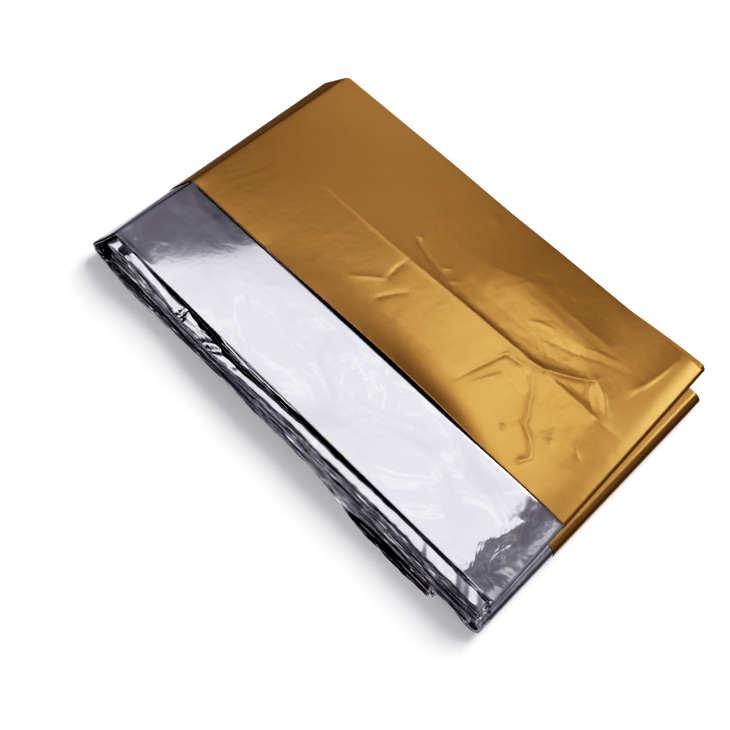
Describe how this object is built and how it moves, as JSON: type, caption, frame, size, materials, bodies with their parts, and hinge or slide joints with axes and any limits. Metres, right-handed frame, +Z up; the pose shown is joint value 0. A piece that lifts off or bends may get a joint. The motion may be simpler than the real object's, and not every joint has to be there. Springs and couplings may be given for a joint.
{
  "type": "emergency foil blanket",
  "caption": "Emergency blanket of metallised film, gold on one side and silver on the other, folded to a flat packet with layered edges.",
  "frame": {"origin": "centre of the packet's bounding box, at the level of the surface it rests on", "axes": "+X along the packet's longer side, from the one long turn to the end where the two bundles show their rounded turns; +Y across it, from the layered silver edge to the back; +Z up"},
  "size_m": [0.1436, 0.097, 0.0127],
  "materials": {
    "gold_face": "satin gold metallised film, finely creased",
    "silver_face": "mirror silver metallised film"
  },
  "bodies": {
    "root": {"foil_blanket": "gold_face"}
  },
  "joints": []
}
